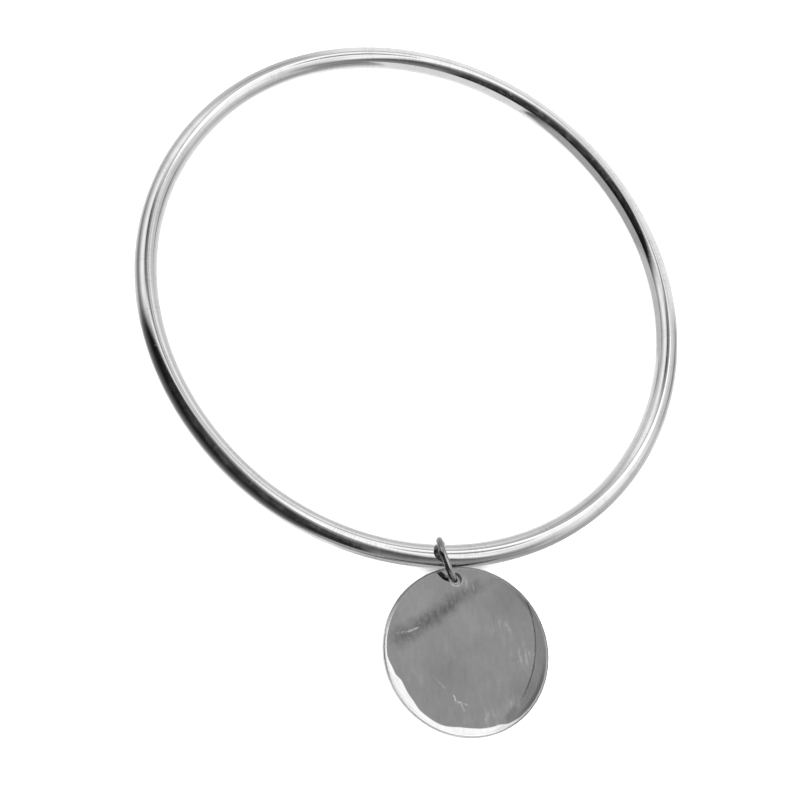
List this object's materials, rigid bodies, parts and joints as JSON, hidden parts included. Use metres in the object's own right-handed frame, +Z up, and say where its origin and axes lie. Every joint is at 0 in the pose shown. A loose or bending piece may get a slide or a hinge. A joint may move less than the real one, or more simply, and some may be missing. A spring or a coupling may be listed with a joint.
{
  "type": "charm bangle",
  "caption": "Rigid closed bangle of round polished wire, lying flat, with a flat round disc charm hanging from it on a small jump ring.",
  "frame": {"origin": "middle of the bangle's wrist opening, on the surface that the bangle lies on", "axes": "+Z up from the surface; Y along the bangle's longer way, with the charm at the -Y end; X across it"},
  "size_m": [0.0684, 0.0918, 0.0052],
  "materials": {
    "bangle_silver": "mirror-polished silver",
    "jump_ring_silver": "polished silver wire",
    "disc_silver": "polished silver sheet, lightly scratched"
  },
  "bodies": {
    "root": {"bangle": "bangle_silver", "jump_ring": "jump_ring_silver", "disc_charm": "disc_silver"}
  },
  "joints": []
}
